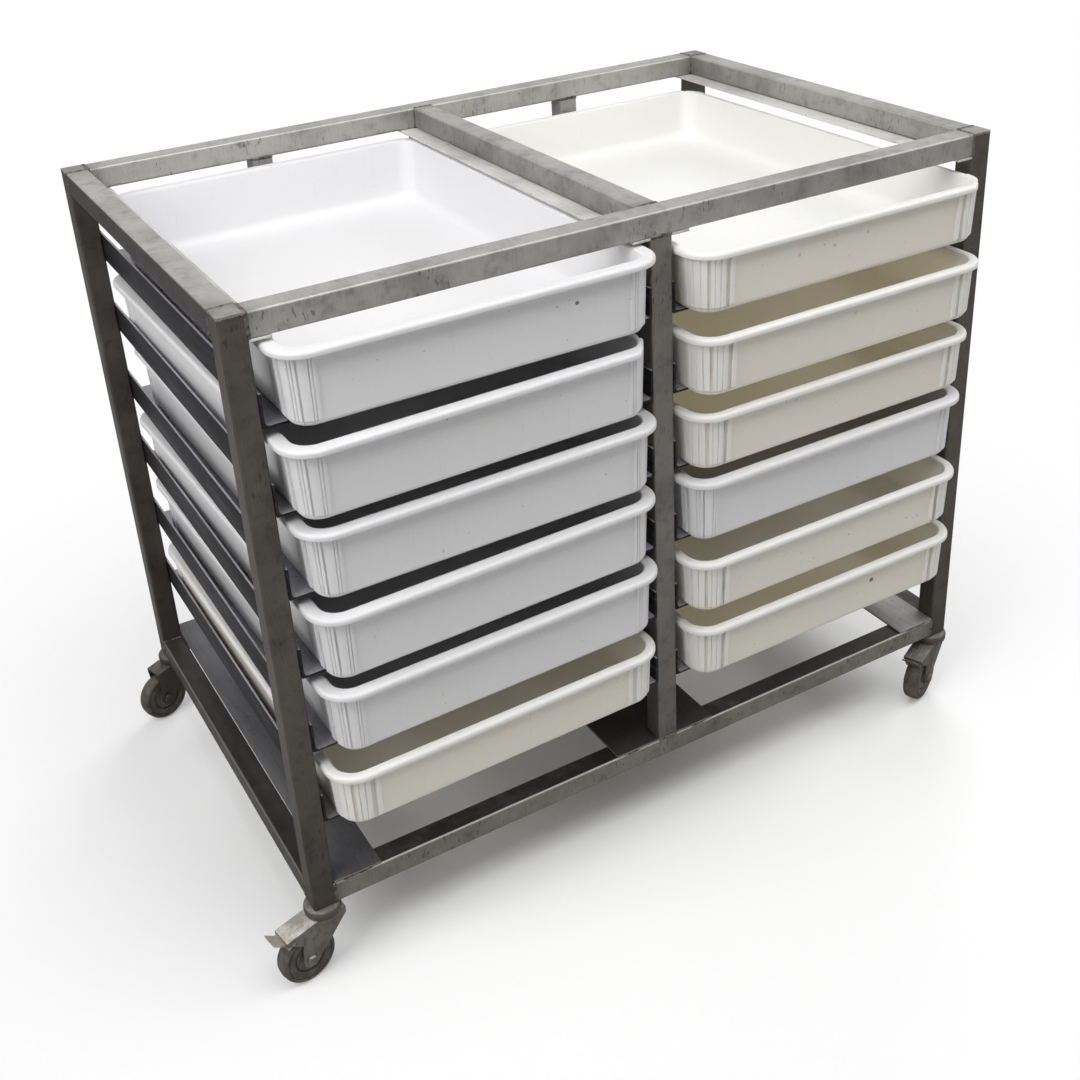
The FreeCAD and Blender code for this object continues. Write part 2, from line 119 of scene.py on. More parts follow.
class TraySettings(bpy.types.PropertyGroup):
    """Moulded trays."""

    white_tone: colour("Plastic of the deep trays", (0.765, 0.760, 0.770))
    cream_tone: colour("Yellowed outer walls of the shallow trays", (0.800, 0.765, 0.685))
    # On the lips and ribs this paler tone is painted light, standing for the light they catch; on the
    # insides it is the plastic's own colour.
    cream_inner_tone: colour("Paler lips, ribs and insides of the shallow trays", (0.830, 0.826, 0.800))
    # Partly painted shade: besides real specks and marks, this tone darkens the corner grooves and the
    # recesses between the ribs.
    stain_and_groove_shade_tone: colour("Dirt that stays in the corner grooves", (0.15, 0.135, 0.105))
    scuff_tone: colour("Grey rub marks on the walls", (0.38, 0.37, 0.36))
    # Painted glow: the insides of covered trays emit this colour, standing in for light through the thin
    # walls.
    inside_glow_tone: colour("Light that the thin cream walls let into a covered tray", (0.080, 0.066, 0.036))
    lip_nose: length("Rounding of the lip's outer upper edge", 4.0)
    lip_under_edge: length("Rounding of the lip's outer lower edge", 1.0)
    lip_inner_edge: length("Rounding from the lip to the inner wall", 2.5)
    foot_radius: length("Rounding from the wall to the underside", 6.0)
    floor_radius: length("Rounding from the inner wall to the floor", 15.0)
    rib_depth: length("How far the corner ribs stand out", 2.5)
    rib_slope: length("Width of a rib's sloping side", 0.6)


class CasterSettings(bpy.types.PropertyGroup):
    """Swivel casters."""

    zinc_tone: colour("Plated steel of the front left fork", (0.190, 0.174, 0.152))
    # Partly painted light: upper faces of the plated parts are paled with this colour, partly as dust and
    # partly for light from above.
    zinc_dust_and_top_light: colour("Pale dust and bloom on upper faces", (0.56, 0.54, 0.49))
    dull_tone: colour("Duller plated steel of the front right fork", (0.115, 0.102, 0.085))
    rear_tone: colour("Grimier plated steel of the rear casters", (0.060, 0.054, 0.046))
    head_tone: colour("Brown plated steel of the front swivel heads", (0.100, 0.088, 0.070))
    pedal_tone: colour("Worn bright plate of the front left brake pedal", (0.46, 0.42, 0.36))
    zinc_dirt: colour("Grime on the plated steel", (0.045, 0.040, 0.030))
    rubber_tone: colour("Tyres", (0.045, 0.040, 0.034))
    dust_tone: colour("Dust on the tyres and hubs", (0.17, 0.152, 0.128))
    nylon_tone: colour("Wheel hubs", (0.070, 0.066, 0.060))
    pressing_edge: length("Rounding of the pressed parts", 1.3)
    tread_crown: length("Rise of the tread's middle over its shoulders", 0.8)
    hood_bead: length("Height of the stiffening bead on the hood", 0.9)


class StageSettings(bpy.types.PropertyGroup):
    """Floor, lamps and camera."""

    floor_tone: colour("Pale studio floor", (0.97, 0.97, 0.97))
    bounce_tone: colour("Floor tone that lights the trolley from below", (0.55, 0.55, 0.55))
    left_power: amount("Power of the softbox high on the left, in watts", 46.0)
    right_power: amount("Power of the softbox in front on the right, in watts", 19.0)
    front_power: amount("Power of the softbox high in front, in watts", 34.0)
    back_power: amount("Power of the softbox behind on the right, in watts", 45.0)
    ambient: amount("Strength of the light from all round", 0.30)


# Node trees

class Wire:
    """A shader socket. Arithmetic on it adds Math nodes to its tree."""

    def __init__(self, nodes, socket):
        self.nodes = nodes
        self.socket = socket

    def math(self, operation, first, second):
        return self.nodes.add("ShaderNodeMath", {"operation": operation}, {0: first, 1: second})

    def __add__(self, other):
        return self.math("ADD", self, other)

    __radd__ = __add__

    def __sub__(self, other):
        return self.math("SUBTRACT", self, other)

    def __rsub__(self, other):
        return self.math("SUBTRACT", other, self)

    def __mul__(self, other):
        return self.math("MULTIPLY", self, other)

    __rmul__ = __mul__

    def __abs__(self):
        return self.math("ABSOLUTE", self, 0.0)


class Nodes:
    """The node tree of one material or of the world."""

    def __init__(self, owner):
        owner.use_nodes = True
        self.owner = owner
        self.tree = owner.node_tree
        self.tree.nodes.clear()

    def add(self, kind, settings=None, sockets=None, output=0):
        """Add a node: first its settings, then the values or links of its sockets."""
        node = self.tree.nodes.new(kind)
        for name, value in (settings or {}).items():
            setattr(node, name, value)
        for name, value in (sockets or {}).items():
            socket = node.inputs[name]
            if isinstance(value, Wire):
                self.tree.links.new(value.socket, socket)
            elif socket.type == "RGBA":
                socket.default_value = (*value[:3], 1.0)
            else:
                socket.default_value = value
        return Wire(self, node.outputs[output]) if node.outputs else None

    def place(self):
        """Position in the trolley's own frame."""
        return self.add("ShaderNodeTexCoord", output="Object")

    def attribute(self, name):
        """Value kept on the mesh's points."""
        return self.add("ShaderNodeAttribute", {"attribute_name": name}, output="Fac")

    def along(self, vector, axis):
        return self.add("ShaderNodeSeparateXYZ", None, {0: vector}, output=axis)

    def rise(self):
        """1 where the surface looks up, 0 where it is upright, -1 where it looks down."""
        return self.along(self.add("ShaderNodeNewGeometry", output="Normal"), "Z")

    def upward(self):
        """1 on upper faces, 0 on the others."""
        return self.step(self.rise(), 0.45, 0.85)

    def rounded_edge(self):
        """1 on the round edges between an upper face and a side, 0 on both faces."""
        rise = self.rise()
        return self.step(rise, 0.10, 0.35) * self.step(rise, 0.97, 0.75)

    def noise(self, vector, scale, detail=2.0, roughness=0.5):
        """Noise with one scale, or its own on each axis, in waves per metre."""
        scales = (scale,) * 3 if isinstance(scale, float) else scale
        stretched = self.add("ShaderNodeVectorMath", {"operation": "MULTIPLY"}, {0: vector, 1: scales})
        sockets = {"Vector": stretched, "Scale": 1.0, "Detail": detail, "Roughness": roughness}
        return self.add("ShaderNodeTexNoise", None, sockets)

    def spot(self, vector, centre, radius):
        """1 close to a point, 0 beyond a radius from it."""
        ends = {0: vector, 1: centre}
        away = self.add("ShaderNodeVectorMath", {"operation": "DISTANCE"}, ends, output="Value")
        return self.step(away, radius, 0.5 * radius)

    def step(self, value, low, high):
        """Smooth step from 0 at low to 1 at high."""
        sockets = {"Value": value, "From Min": low, "From Max": high}
        return self.add("ShaderNodeMapRange", {"interpolation_type": "SMOOTHSTEP"}, sockets)

    def mixed(self, factor, first, second):
        """Colour that goes from the first to the second as the factor rises."""
        return self.add("ShaderNodeMix", {"data_type": "RGBA"}, {0: factor, 6: first, 7: second}, output=2)

    def layered(self, base, *layers):
        """Colour with further ones laid over it, each given as a factor and a colour."""
        for factor, tone in layers:
            base = self.mixed(factor, base, tone)
        return base

    def bump(self, height, depth):
        """Normal bent by a height from 0 to 1 that is so many metres deep."""
        return self.add("ShaderNodeBump", None, {"Strength": 1.0, "Distance": depth, "Height": height})

    def surface(self, sockets):
        """The material, finished with a surface."""
        shader = self.add("ShaderNodeBsdfPrincipled", None, sockets)
        self.add("ShaderNodeOutputMaterial", None, {"Surface": shader})
        return self.owner


def new_material(name):
    """Nodes of a new material, and the place in the trolley's frame that its marks follow."""
    nodes = Nodes(bpy.data.materials.new(name))
    return nodes, nodes.place()


# Finishes

def stretch(axis, fine, coarse):
    """Scale on the three axes for marks that are fine along one axis and long across it."""
    return tuple(fine if step == axis else coarse for step in range(3))


class TubeFinish(NamedTuple):
    """Tones of a tube's sides and upper face, whose difference is painted light and shade, and the shares of
    bright smears and of top edges brightened partly by wear and partly as a painted highlight.
    """

    side_tone: tuple
    top_tone: tuple
    polish: float
    edge_wear_and_highlight: float


def tube_steel(name, axis, finish):
    """Steel tube along one axis: fine marks, polished smears, dark nicks and heat tint by the welds, with
    upper faces in a tone of their own that paints light from above on the top rails and shade under the
    trays on the base rails, and top edges brightened partly by wear and partly as a painted highlight.
    """
    settings = bpy.context.scene.trolley_steel
    nodes, place = new_material(name)
    upright = axis == 2
    fine_scale = (950.0, 950.0, 30.0) if upright else stretch(axis, 900.0, 45.0)
    nick_scale = (330.0, 330.0, 75.0) if upright else stretch(axis, 280.0, 90.0)
    grain = nodes.noise(place, fine_scale, 3.0, 0.6)
    smears = nodes.noise(place, (24.0, 24.0, 9.0), 4.0, 0.6)
    clouds = nodes.noise(place, 9.0, 5.0, 0.6)
    patches = nodes.step(nodes.noise(place, 14.0, 2.0, 0.5), 0.47, 0.58)
    upward = nodes.upward()
    nicks = patches * nodes.step(nodes.noise(place, nick_scale, 1.0, 0.4), 0.65, 0.71)
    nicks = nicks * (1.0 - 0.8 * upward)
    blotches = nodes.noise(place, 55.0, 4.0, 0.65)
    foot = nodes.step(nodes.along(place, "Z"), 0.55, 0.10) if upright else 0.0
    heat = nodes.step(distance_to_joint(nodes, place, axis) + 0.03 * clouds, 0.045, 0.010)
    dark, bright = settings.nick_tone, settings.top_tone
    base = nodes.layered(
        # Upper faces in their own tone: painted light from above on the top rails, painted shade under the
        # trays on the base rails.
        nodes.mixed(upward, finish.side_tone, finish.top_tone),
        (nodes.step(clouds, 0.40, 0.72) * 0.36, dark),
        (nodes.step(blotches, 0.48, 0.70) * 0.26, dark),
        (nodes.step(smears, 0.48, 0.78) * finish.polish, bright),
        # Top edges brightened: partly wear, partly a painted highlight.
        (nodes.rounded_edge() * finish.edge_wear_and_highlight, bright),
        (nodes.step(grain, 0.40, 0.78) * 0.14, dark),
        (heat * 0.30, settings.heat_tone),
        (foot * 0.30, dark),
        (nicks * 0.48, dark),
    )
    return nodes.surface({
        "Base Color": base,
        "Metallic": 0.78 - heat * 0.3,
        "Roughness": 0.32 + 0.22 * smears + 0.08 * grain + heat * 0.12,
        "Normal": nodes.bump(grain * 0.5 - nicks * 0.5, 0.00010),
        "Anisotropic": 0.3,
        "Specular IOR Level": 0.2,
    })


def sheet_steel(name, side_tone, top_tone, metallic=0.75):
    """Rolled sheet steel, a little blue, with drawn lines, rubbed streaks and cloudy stains, and upper faces
    in a tone of their own, which on the runners is painted light above legs in painted shade.
    """
    settings = bpy.context.scene.trolley_steel
    nodes, place = new_material(name)
    drawn = nodes.noise(place, (700.0, 14.0, 700.0), 3.0, 0.6)
    clouds = nodes.noise(place, (9.0, 6.0, 9.0), 5.0, 0.6)
    specks = nodes.step(nodes.noise(place, 190.0, 1.0, 0.4), 0.70, 0.76)
    streaks = nodes.noise(place, (40.0, 7.0, 90.0), 5.0, 0.65)
    dark = settings.nick_tone
    base = nodes.layered(
        nodes.mixed(nodes.upward(), side_tone, top_tone),
        (nodes.step(streaks, 0.48, 0.75) * 0.12, top_tone),
        (nodes.step(clouds, 0.38, 0.70) * 0.4, dark),
        (nodes.step(drawn, 0.40, 0.80) * 0.25, dark),
        (specks * 0.5, dark),
    )
    return nodes.surface({
        "Base Color": base,
        "Metallic": metallic,
        "Roughness": 0.40 + 0.22 * clouds + 0.08 * drawn,
        "Normal": nodes.bump(drawn, 0.00006),
        "Specular IOR Level": 0.15,
    })


def weld_metal(name):
    """Bare weld beads: bright crests and brown scale."""
    settings = bpy.context.scene.trolley_steel
    nodes, place = new_material(name)
    scale = nodes.noise(place, 160.0, 3.0, 0.6)
    grit = nodes.noise(place, 1400.0, 2.0, 0.5)
    base = nodes.mixed(nodes.step(scale, 0.40, 0.66), settings.weld_tone, settings.heat_tone)
    return nodes.surface({
        "Base Color": base,
        "Metallic": 0.85,
        "Roughness": 0.38 + 0.30 * scale,
        "Normal": nodes.bump(grit, 0.0002),
    })


def tray_plastic(name, tone, inner_tone):
    """Moulded plastic: faint mottling, drag marks up the walls, small specks, darkening in the grooves that
    is partly dirt and partly painted shade, a second tone on lips, ribs and insides that is painted light on
    the lips and ribs, and a painted glow inside covered trays.
    """
    settings = bpy.context.scene.trolley_trays
    nodes, place = new_material(name)
    groove_dirt_and_shade, covered, inner = [nodes.attribute(key) for key in ("groove_dirt_and_shade", "covered", "inner")]
    mottle = nodes.noise(place, 8.0, 4.0, 0.6)
    drags = nodes.noise(place, (330.0, 330.0, 14.0), 3.0, 0.55)
    rubs = nodes.noise(place, (46.0, 46.0, 120.0), 4.0, 0.6)
    specks = nodes.step(nodes.noise(place, 210.0, 0.0, 0.4), 0.84, 0.88)
    skin = nodes.noise(place, 1500.0, 1.0, 0.5)
    yellowed = (tone[0] * 0.98, tone[1] * 0.97, tone[2] * 0.93)
    caked = nodes.step(drags * 0.6 + mottle * 0.4, 0.48, 0.64)
    # Grooves and the recesses between ribs darkened: partly dirt, partly painted shade.
    dirt = nodes.step(groove_dirt_and_shade, 0.35, 0.95) * (0.12 + 0.45 * caked)
    marks = [nodes.spot(place, centre, radius) * strength for centre, radius, strength in TRAY_MARKS]
    base = nodes.layered(
        tone,
        (nodes.step(mottle, 0.40, 0.80) * 0.6, yellowed),
        # Paler tone on lips and ribs: painted light; on the insides, the plastic's own colour.
        (inner, inner_tone),
        (nodes.step(drags, 0.60, 0.86) * 0.16, settings.scuff_tone),
        (nodes.step(rubs, 0.66, 0.80) * 0.12, settings.scuff_tone),
        (specks * (1.0 - inner) * 0.4, settings.stain_and_groove_shade_tone),
        *((mark, settings.stain_and_groove_shade_tone) for mark in marks),
        (dirt, settings.stain_and_groove_shade_tone),
    )
    return nodes.surface({
        "Base Color": base,
        "Roughness": 0.36 + 0.14 * mottle + 0.10 * rubs + 0.2 * dirt,
        "Normal": nodes.bump(skin * 0.4 + drags * 0.6, 0.00008),
        "IOR": 1.50,
        # Painted glow inside the covered trays.
        "Emission Color": nodes.mixed(covered, (0.0, 0.0, 0.0), settings.inside_glow_tone),
        "Emission Strength": 1.0,
    })


def zinc_plate(name, tone, dust_and_top_light_share):
    """Dull zinc plating with dark grime, upper faces paled partly as dust and partly as painted light from
    above, and a gritty skin.
    """
    settings = bpy.context.scene.trolley_casters
    nodes, place = new_material(name)
    patches = nodes.noise(place, 60.0, 5.0, 0.65)
    pits = nodes.noise(place, 420.0, 3.0, 0.6)
    streaks = nodes.noise(place, (300.0, 300.0, 40.0), 3.0, 0.6)
    dirt = nodes.step(patches * 0.7 + streaks * 0.3, 0.44, 0.66)
    # Upper faces paled: partly dust, partly painted light from above.
    dust_and_top_light = nodes.upward() * (0.5 + 0.5 * nodes.step(patches, 0.60, 0.40)) * dust_and_top_light_share
    base = nodes.layered(
        tone,
        (dirt * 0.75, settings.zinc_dirt),
        (dust_and_top_light, settings.zinc_dust_and_top_light),
        (nodes.step(pits, 0.58, 0.72) * 0.7, settings.zinc_dirt),
    )
    return nodes.surface({
        "Base Color": base,
        "Metallic": 0.60 - dirt * 0.40,
        "Roughness": 0.36 + 0.34 * patches + 0.1 * pits,
        "Normal": nodes.bump(pits, 0.00025),
    })


def dusty(name, tone, dust, roughness):
    """Dark rubber or nylon with dust and fine wear."""
    nodes, place = new_material(name)
    patches = nodes.noise(place, 75.0, 5.0, 0.65)
    grit = nodes.noise(place, 900.0, 2.0, 0.55)
    settled = nodes.step(patches * 0.75 + grit * 0.25, 0.42, 0.68)
    return nodes.surface({
        "Base Color": nodes.mixed(settled * 0.8, tone, dust),
        "Roughness": roughness + 0.25 * settled,
        "Normal": nodes.bump(grit, 0.00018),
    })


# Meshes

def add_object(name, data):
    thing = bpy.data.objects.new(name, data)
    bpy.context.scene.collection.objects.link(thing)
    return thing


def new_piece(name, vertices, faces, material, body, replaced=(), sharp=40.0):
    """Smooth mesh object that rides on a body, and may stand for CAD nodes."""
    mesh = bpy.data.meshes.new(name)
    mesh.from_pydata([tuple(point) for point in vertices], [], faces)
    return placed(mesh, name, material, body, replaced, sharp)


def placed(mesh, name, material, body, replaced=(), sharp=40.0):
    mesh.validate()
    mesh.polygons.foreach_set("use_smooth", [True] * len(mesh.polygons))
    mesh.set_sharp_from_angle(angle=math.radians(sharp))
    mesh.materials.append(material)
    piece = add_object(name, mesh)
    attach(piece, body)
    if replaced:
        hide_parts(*replaced)
    return piece


def coat(node, material):
    """Give a CAD node a finish."""
    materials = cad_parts[node].data.materials
    materials.clear()
    materials.append(material)


def eased_copy(node, material, body, radius):
    """Piece in a CAD node's place, with the same shape and its sharp edges rounded."""
    work = bmesh.new()
    work.from_mesh(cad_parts[node].data)
    bmesh.ops.remove_doubles(work, verts=work.verts, dist=1e-5)
    bmesh.ops.dissolve_limit(work, angle_limit=math.radians(1), verts=work.verts, edges=work.edges)
    corner = math.radians(38)
    sharp = [edge for edge in work.edges if len(edge.link_faces) == 2 and edge.calc_face_angle() > corner]
    bmesh.ops.bevel(
        work, geom=sharp, offset=radius, offset_type="OFFSET", segments=2, profile=0.5,
        affect="EDGES", clamp_overlap=True,
    )
    mesh = bpy.data.meshes.new(node + "_eased")
    work.to_mesh(mesh)
    work.free()
    return placed(mesh, node + "_eased", material, body, (node,))


def ring_faces(rings, stations, closed_rings=False, first=0):
    """Quads between rings of points, each ring closed on itself, from the first point's number."""
    faces = []
    last = rings if closed_rings else rings - 1
    for ring in range(last):
        near = first + ring * stations
        far = first + (ring + 1) % rings * stations
        for station in range(stations):
            beside = (station + 1) % stations
            faces.append((near + station, near + beside, far + beside, far + station))
    return faces


def lathe(profile, place, steps=72):
    """Turned mesh from a closed (radius, level) outline about Z, moved by a matrix."""
    vertices = []
    for radius, level in profile:
        for step in range(steps):
            turn = 2 * math.pi * step / steps
            vertices.append(place @ Vector((radius * math.cos(turn), radius * math.sin(turn), level)))
    return vertices, ring_faces(len(profile), steps, closed_rings=True)


def arc(centre, radius, start, end, steps):
    """Points of a circular arc between two angles in degrees."""
    points = []
    for step in range(steps + 1):
        angle = math.radians(start + (end - start) * step / steps)
        points.append((centre[0] + radius * math.cos(angle), centre[1] + radius * math.sin(angle)))
    return points


def box_size(node):
    low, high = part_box(node)
    return high - low


def box_centre(node):
    low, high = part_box(node)
    return (low + high) / 2


# Frame

RAILS_ACROSS = ("rail_top_front", "rail_top_rear", "rail_base_front", "rail_base_rear")
RAILS_ALONG = ("rail_top_left", "rail_top_right", "rail_base_left", "rail_base_right", "rail_top_centre")
RUNNERS = ("runners_left_outer", "runners_left_inner", "runners_right_inner", "runners_right_outer")
PLATES = ("base_plate_left", "base_plate_centre", "base_plate_right")

tube = box_size("rail_top_front").z
post_inner_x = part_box("rail_top_front")[1].x
post_inner_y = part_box("rail_top_left")[1].y
post_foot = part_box("post_front_left")[0].z
frame_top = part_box("rail_top_front")[1].z
tube_corner = 3 * MM

# Middle and half length, between their welded ends, of the tubes along each axis
TUBE_RUNS = (
    (0.0, post_inner_x),
    (0.0, post_inner_y),
    ((post_foot + frame_top) / 2, (frame_top - post_foot) / 2 - tube),
)


def distance_to_joint(nodes, place, axis):
    """Distance from the nearer welded end of a tube along an axis."""
    middle, reach = TUBE_RUNS[axis]
    return reach - abs(nodes.along(place, "XYZ"[axis]) - middle)


class TROLLEY_OT_tubes(bpy.types.Operator):
    """Give the posts and rails their ground steel."""

    bl_idname = "trolley.tubes"
    bl_label = "Tubes"

    def execute(self, context):
        steel = context.scene.trolley_steel
        ground = TubeFinish(steel.rail_tone, steel.top_tone, 0.30, 0.3)
        cross = TubeFinish(steel.cross_tone, steel.top_tone, 0.30, 0.3)
        bright = TubeFinish(steel.rear_tone, steel.top_tone, 0.35, 0.3)
        # Painted shade: the left-hand top rail gets near-black sides under a light upper face.
        darker = TubeFinish(steel.left_rails_shaded_side_tone, steel.top_tone, 0.10, 0.2)
        # Base rails: upper faces in painted shade under the trays, top edges brightened as wear and a
        # painted highlight.
        base = TubeFinish(steel.base_tone, steel.shaded_base_top_tone, 0.20, 1.0)
        # Painted shade on the left base rail, both on its sides and on its upper face.
        shaded_left_base = TubeFinish(steel.left_rails_shaded_side_tone, steel.shaded_base_top_tone, 0.06, 0.3)
        dark = TubeFinish(steel.post_tone, steel.post_tone, 0.07, 0.0)
        paler = TubeFinish(steel.centre_post_tone, steel.centre_post_tone, 0.10, 0.0)
        finishes = (
            ("front_rail_steel", 0, ground, ("rail_top_front",)),
            ("rear_rail_steel", 0, bright, ("rail_top_rear",)),
            ("base_rail_steel", 0, base, ("rail_base_front", "rail_base_rear")),
            ("right_rail_steel", 1, ground, ("rail_top_right",)),
            ("cross_tube_steel", 1, cross, ("rail_top_centre", "post_caps")),
            ("left_rail_steel", 1, darker, ("rail_top_left",)),
            ("base_side_steel", 1, base, ("rail_base_right",)),
            ("base_left_steel", 1, shaded_left_base, ("rail_base_left",)),
            ("post_steel", 2, dark, ["post_" + corner for corner in CORNERS]),
            ("centre_post_steel", 2, paler, ("post_centre_front", "post_centre_rear")),
            ("stop_bar_steel", 2, bright, ("rear_stop_bars",)),
        )
        for name, axis, finish, tubes in finishes:
            material = tube_steel(name, axis, finish)
            for node in tubes:
                coat(node, material)
        return {"FINISHED"}


class TROLLEY_OT_sheet(bpy.types.Operator):
    """Round the sheared edges of the runners, plates and keepers."""

    bl_idname = "trolley.sheet"
    bl_label = "Runners, plates and keepers"

    def execute(self, context):
        steel = context.scene.trolley_steel
        # Runners: legs in painted shade, upper faces in painted light.
        runner = sheet_steel("runner_steel", steel.runner_shaded_leg_tone, steel.runner_lit_top_tone, metallic=0.35)
        keeper = sheet_steel("keeper_steel", steel.keeper_tone, steel.keeper_tone, metallic=0.05)
        finishes = {"tray_keepers": keeper}
        finishes.update((node, runner) for node in RUNNERS)
        # Centre plate in painted shade, right plate with a painted reflection.
        plate_tones = (steel.left_plate_tone, steel.shaded_base_top_tone, steel.right_plate_reflection_tone)
        for node, tone in zip(PLATES, plate_tones):
            finishes[node] = sheet_steel(node + "_steel", steel.base_tone, tone)
        for node, finish in finishes.items():
            eased_copy(node, finish, "frame", steel.sheet_edge)
        return {"FINISHED"}


# Welds

def square_loop(centre, side, over, half, spacing):
    """Points and outward directions round a tube's square outline with round corners."""
    points, outward = [], []
    core = half - tube_corner
    quarter = 2 * core + tube_corner * math.pi / 2
    steps = max(8, round(quarter / spacing))
    for turn in range(4):
        for step in range(steps):
            distance = quarter * step / steps
            angle = turn * math.pi / 2
            if distance < 2 * core:
                place = (half, distance - core)
                facing = 0.0
            else:
                facing = (distance - 2 * core) / tube_corner
                place = (core + tube_corner * math.cos(facing), core + tube_corner * math.sin(facing))
            cos, sin = math.cos(angle), math.sin(angle)
            u, v = place[0] * cos - place[1] * sin, place[0] * sin + place[1] * cos
            points.append(centre + side * u + over * v)
            facing += angle
            outward.append(side * math.cos(facing) + over * math.sin(facing))
    return points, outward


def straight_run(start, end, facing, spacing):
    """Points and outward directions along a short straight bead."""
    steps = max(4, round((end - start).length / spacing))
    points = [start.lerp(end, step / steps) for step in range(steps + 1)]
    return points, [facing] * len(points)


class BeadMesh:
    """Rippled weld beads gathered into one mesh."""

    sides = 8
    ripple_share = 0.16
    swell_share = 0.28
    drift_share = 0.10

    def __init__(self, width, height, pitch):
        self.width = width
        self.height = height
        self.pitch = pitch
        self.vertices = []
        self.faces = []

    def add(self, points, outward, closed, size=1.0):
        first = len(self.vertices)
        count = len(points)
        travelled = 0.0
        for step, point in enumerate(points):
            if closed or step + 1 < count:
                following = points[(step + 1) % count]
            else:
                following = point * 2 - points[step - 1]
            tangent = (following - point).normalized()
            beside = tangent.cross(outward[step])
            wander = noise.noise(point * 230.0)
            ripple = math.sin(2 * math.pi * travelled / self.pitch)
            swell = 1.0 + self.ripple_share * ripple + self.swell_share * wander
            if not closed:
                swell *= math.sin(math.pi * (step + 0.6) / (count + 0.2)) ** 0.35
            drift = self.drift_share * self.width * noise.noise(point * 140.0 + Vector((7, 0, 0)))
            middle = point + beside * drift
            for turn in range(self.sides):
                angle = 2 * math.pi * turn / self.sides
                offset = beside * (self.width / 2 * math.cos(angle))
                offset += outward[step] * (self.height * math.sin(angle))
                self.vertices.append(middle + offset * swell * size)
            travelled += (following - point).length
        self.faces += ring_faces(count, self.sides, closed, first)


def tube_end_loops():
    """Centre and two in-plane directions of each place where a tube's end is welded on."""
    x, y, z = Vector((1, 0, 0)), Vector((0, 1, 0)), Vector((0, 0, 1))
    for node in RAILS_ACROSS:
        centre = box_centre(node)
        for side in (-1, 1):
            yield centre + x * (side * post_inner_x), y, z
    for node in RAILS_ALONG:
        centre = box_centre(node)
        for side in (-1, 1):
            yield centre + y * (side * post_inner_y), z, x
    for node in ("post_centre_front", "post_centre_rear"):
        low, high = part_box(node)
        for level in (low.z, high.z):
            yield Vector(((low.x + high.x) / 2, (low.y + high.y) / 2, level)), x, y
    low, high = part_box("rear_stop_bars")
    for middle_x in (low.x + tube / 2, high.x - tube / 2):
        for level in (low.z, high.z):
            yield Vector((middle_x, (low.y + high.y) / 2, level)), x, y


def runner_levels():
    """Top edge of each runner's upright leg."""
    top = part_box("runners_left_outer")[1].z
    pitch = (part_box("tray_left_1")[0].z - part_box("tray_left_6")[0].z) / (TRAYS_IN_BAY - 1)
    return [top - step * pitch for step in range(TRAYS_IN_BAY)]


class TROLLEY_OT_welds(bpy.types.Operator):
    """Lay rippled beads on the tube joints, caps, runners and plates."""

    bl_idname = "trolley.welds"
    bl_label = "Welds"

    def execute(self, context):
        steel = context.scene.trolley_steel
        beads = BeadMesh(steel.weld_width, steel.weld_height, steel.ripple_pitch)
        spacing = steel.ripple_pitch / 4
        for centre, side, over in tube_end_loops():
            beads.add(*square_loop(centre, side, over, tube / 2, spacing), closed=True)
        self.cap_beads(beads, spacing)
        self.runner_beads(beads, spacing)
        self.plate_beads(beads, spacing)
        new_piece("weld_beads", beads.vertices, beads.faces, weld_metal("weld_metal"), "frame",
                  sharp=60.0)
        return {"FINISHED"}

    def cap_beads(self, beads, spacing):
        """Thin seams round the cap plates on the corner posts."""
        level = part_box("post_front_left")[1].z
        for corner in CORNERS:
            centre = box_centre("post_" + corner)
            loop = square_loop(Vector((centre.x, centre.y, level)), Vector((1, 0, 0)), Vector((0, 1, 0)),
                               tube / 2, spacing)
            beads.add(*loop, closed=True, size=0.45)

    def runner_beads(self, beads, spacing):
        """Short beads along the runners' upper edges where they cross the posts."""
        half_bead = 9 * MM
        bead_inset = 1.2 * MM
        post_y = box_centre("post_front_left").y
        for node in RUNNERS:
            low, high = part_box(node)
            outer = "outer" in node
            face_x = low.x if ("left" in node) == outer else high.x
            inward = 1.0 if face_x == low.x else -1.0
            for level in runner_levels():
                for middle_y in (post_y, -post_y):
                    start = Vector((face_x + inward * bead_inset, middle_y - half_bead, level))
                    end = start + Vector((0, 2 * half_bead, 0))
                    facing = Vector((inward, 0, 1)).normalized()
                    beads.add(*straight_run(start, end, facing, spacing), closed=False, size=0.9)

    def plate_beads(self, beads, spacing):
        """Stitches between the plates' ends and the base rails."""
        stitch = 24 * MM
        for node in PLATES:
            low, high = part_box(node)
            for end_y, facing in ((low.y, Vector((0, -1, 0))), (high.y, Vector((0, 1, 0)))):
                for middle_x in (low.x + stitch, high.x - stitch):
                    start = Vector((middle_x - stitch / 2, end_y, low.z))
                    run = straight_run(start, start + Vector((stitch, 0, 0)), facing, spacing)
                    beads.add(*run, closed=False, size=0.8)


# Trays

class TrayKind(NamedTuple):
    """Shape of one kind of tray.

    Ribs are stretches of wall, measured from where the end wall starts to turn.
    Flutes are narrow grooves pressed into the ribs.
    """

    lip_width: float
    wall: float
    ribs: tuple
    flutes: tuple


DEEP = TrayKind(17.5 * MM, 4.5 * MM, ((-3, 16), (18, 37), (44, 53)), (1.5, 5.0, 22.0, 26.0, 48.5))
SHALLOW = TrayKind(13.0 * MM, 4.0 * MM, ((-15.5, -9.5), (-3, 16), (20, 52)), (4.0, 11.0, 28.0, 37.0, 46.0))
flute_half = 1.1 * MM
flute_share = 0.55
TRIMMED_TRAYS = ("tray_left_2", "tray_right_1")

